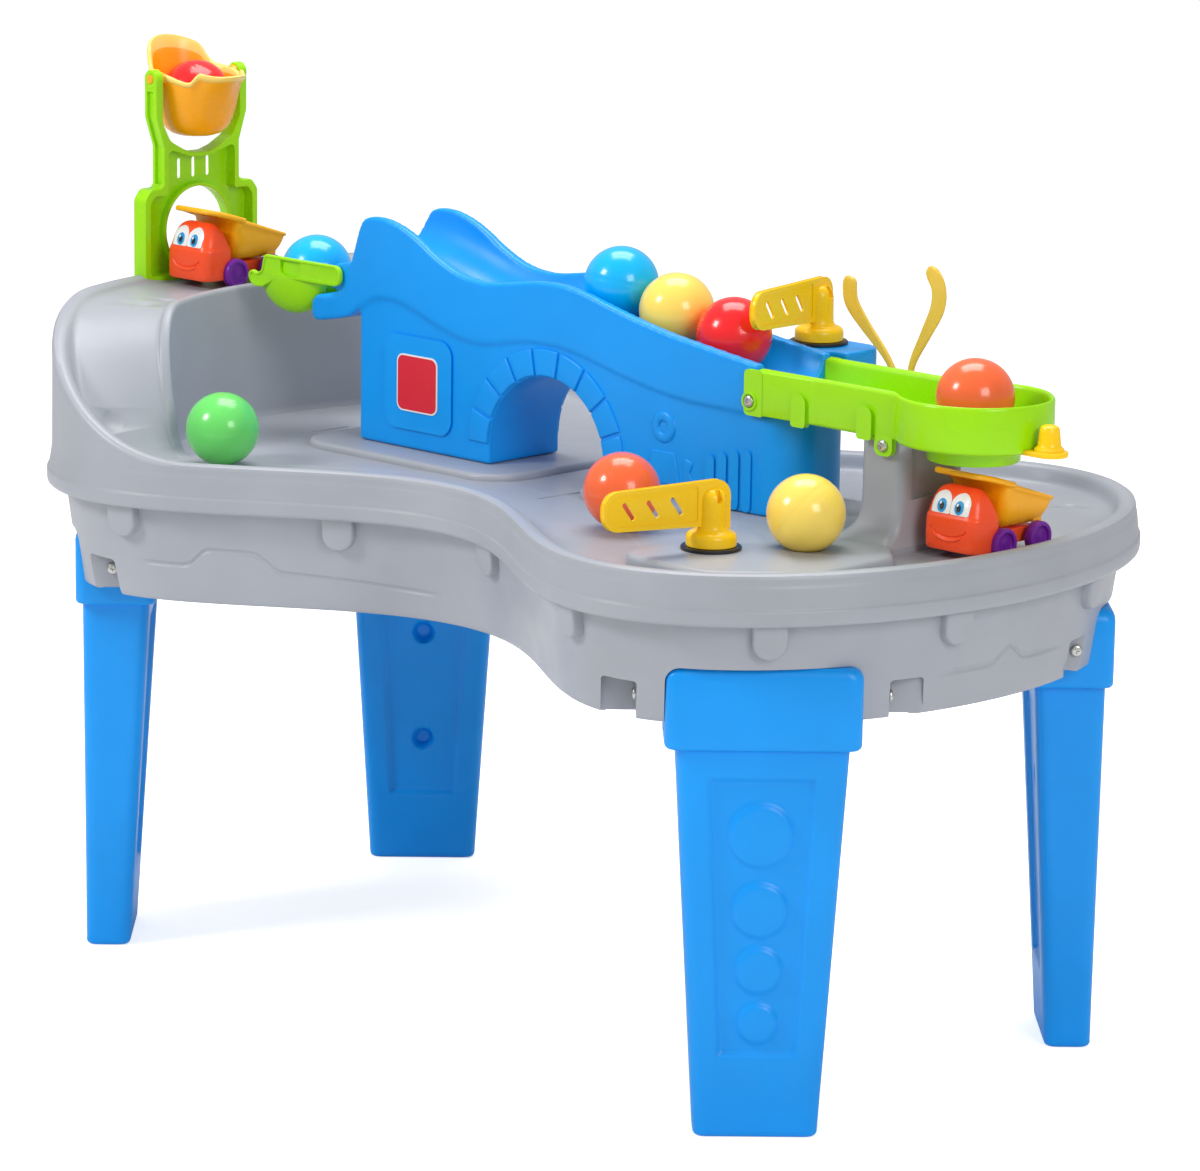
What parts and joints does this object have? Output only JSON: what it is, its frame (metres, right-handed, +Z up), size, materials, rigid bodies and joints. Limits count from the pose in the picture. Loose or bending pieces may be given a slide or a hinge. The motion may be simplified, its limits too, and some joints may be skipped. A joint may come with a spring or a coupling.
{
  "type": "ball run activity table",
  "caption": "Standing play table with a ramped road, a hill ball run, tipping bucket, scoop, flippers, drop gate, play balls and tipping trucks on four legs.",
  "frame": {"origin": "on the floor, midway between the four feet", "axes": "+X along the ball run from the bucket end to the bowl end, +Y to the back of the table, +Z up"},
  "size_m": [1.163, 0.656, 0.8633],
  "materials": {
    "grey_plastic": "satin moulded",
    "blue_plastic": "satin moulded",
    "green_plastic": "gloss",
    "yellow_plastic": "gloss",
    "steel": "zinc plated",
    "red_label": "plain printed film",
    "black_plastic": "satin",
    "ball_red": "gloss",
    "ball_blue": "gloss",
    "ball_green": "gloss",
    "ball_yellow": "gloss",
    "ball_orange": "gloss",
    "cab_red": "gloss",
    "bed_orange": "gloss",
    "wheel_purple": "gloss"
  },
  "bodies": {
    "table": {"tray": "grey_plastic", "leg_front_right": "blue_plastic", "leg_back_right": "blue_plastic", "leg_back_left": "blue_plastic", "leg_front_left": "blue_plastic", "leg_front_right_screw_a": "steel", "leg_front_right_screw_b": "steel", "leg_back_right_screw_a": "steel", "leg_back_right_screw_b": "steel", "leg_back_left_screw_a": "steel", "leg_back_left_screw_b": "steel", "leg_front_left_screw_a": "steel", "leg_front_left_screw_b": "steel", "hill": "blue_plastic", "badge": "red_label", "outlet_track": "green_plastic", "lap_screw_front": "steel", "lap_screw_back": "steel", "pillar_screw_front": "steel", "pillar_screw_back": "steel", "tower": "green_plastic", "front_flipper_ring": "black_plastic", "rear_flipper_ring": "black_plastic", "front_pivot_screw": "steel", "rear_pivot_screw": "steel", "ball_green_floor": "ball_green", "ball_blue_track": "ball_blue", "ball_yellow_track": "ball_yellow", "ball_red_track": "ball_red", "ball_orange_bowl": "ball_orange", "ball_orange_floor": "ball_orange", "ball_yellow_floor": "ball_yellow", "truck_deck_body": "cab_red", "truck_road_body": "cab_red"},
    "bucket": {"bucket": "yellow_plastic", "ball_red_bucket": "ball_red"},
    "scoop": {"scoop": "green_plastic", "ball_blue_scoop": "ball_blue"},
    "front_flipper": {"front_flipper": "yellow_plastic"},
    "rear_flipper": {"rear_flipper": "yellow_plastic"},
    "drop_gate": {"drop_gate": "yellow_plastic"},
    "fork": {"fork": "yellow_plastic"},
    "truck_deck_bed": {"truck_deck_bed": "bed_orange"},
    "truck_deck_front_wheels": {"truck_deck_front_axle": "steel", "truck_deck_front_wheel_right": "wheel_purple", "truck_deck_front_wheel_left": "wheel_purple"},
    "truck_deck_rear_wheels": {"truck_deck_rear_axle": "steel", "truck_deck_rear_wheel_right": "wheel_purple", "truck_deck_rear_wheel_left": "wheel_purple"},
    "truck_road_bed": {"truck_road_bed": "bed_orange"},
    "truck_road_front_wheels": {"truck_road_front_axle": "steel", "truck_road_front_wheel_right": "wheel_purple", "truck_road_front_wheel_left": "wheel_purple"},
    "truck_road_rear_wheels": {"truck_road_rear_axle": "steel", "truck_road_rear_wheel_right": "wheel_purple", "truck_road_rear_wheel_left": "wheel_purple"}
  },
  "joints": [
    {"name": "bucket_tilt", "type": "hinge", "parent": "table", "child": "bucket", "pos_m": [-0.531, -0.012, 0.8263], "axis": [0, 1, 0], "range_deg": [0, 95]},
    {"name": "scoop_tilt", "type": "hinge", "parent": "table", "child": "scoop", "pos_m": [-0.284, -0.05, 0.657], "axis": [0, 1, 0], "range_deg": [0, 60]},
    {"name": "front_flipper_turn", "type": "hinge", "parent": "table", "child": "front_flipper", "pos_m": [0.338, -0.183, 0.53], "axis": [0, 0, 1], "range_deg": [-60, 90]},
    {"name": "rear_flipper_turn", "type": "hinge", "parent": "table", "child": "rear_flipper", "pos_m": [0.222, 0.084, 0.67], "axis": [0, 0, 1], "range_deg": [0, 75]},
    {"name": "gate_slide", "type": "slide", "parent": "table", "child": "drop_gate", "axis": [1, 0, 0], "range_m": [0, 0.058]},
    {"name": "fork_tilt", "type": "hinge", "parent": "table", "child": "fork", "pos_m": [0.32, 0.095, 0.604], "axis": [0, 1, 0], "range_deg": [0, 25]},
    {"name": "truck_deck_bed_tilt", "type": "hinge", "parent": "table", "child": "truck_deck_bed", "pos_m": [-0.4828, 0.023, 0.6423], "axis": [-1, 0, 0], "range_deg": [0, 45]},
    {"name": "truck_deck_front_axle_spin", "type": "hinge", "parent": "table", "child": "truck_deck_front_wheels", "pos_m": [-0.4828, -0.032, 0.6378], "axis": [1, 0, 0], "continuous": true},
    {"name": "truck_deck_rear_axle_spin", "type": "hinge", "parent": "table", "child": "truck_deck_rear_wheels", "pos_m": [-0.4828, 0.016, 0.6378], "axis": [1, 0, 0], "continuous": true},
    {"name": "truck_road_bed_tilt", "type": "hinge", "parent": "table", "child": "truck_road_bed", "pos_m": [0.48, 0.06, 0.5123], "axis": [-1, 0, 0], "range_deg": [0, 5]},
    {"name": "truck_road_front_axle_spin", "type": "hinge", "parent": "table", "child": "truck_road_front_wheels", "pos_m": [0.48, 0.005, 0.5078], "axis": [1, 0, 0], "continuous": true},
    {"name": "truck_road_rear_axle_spin", "type": "hinge", "parent": "table", "child": "truck_road_rear_wheels", "pos_m": [0.48, 0.053, 0.5078], "axis": [1, 0, 0], "continuous": true}
  ]
}
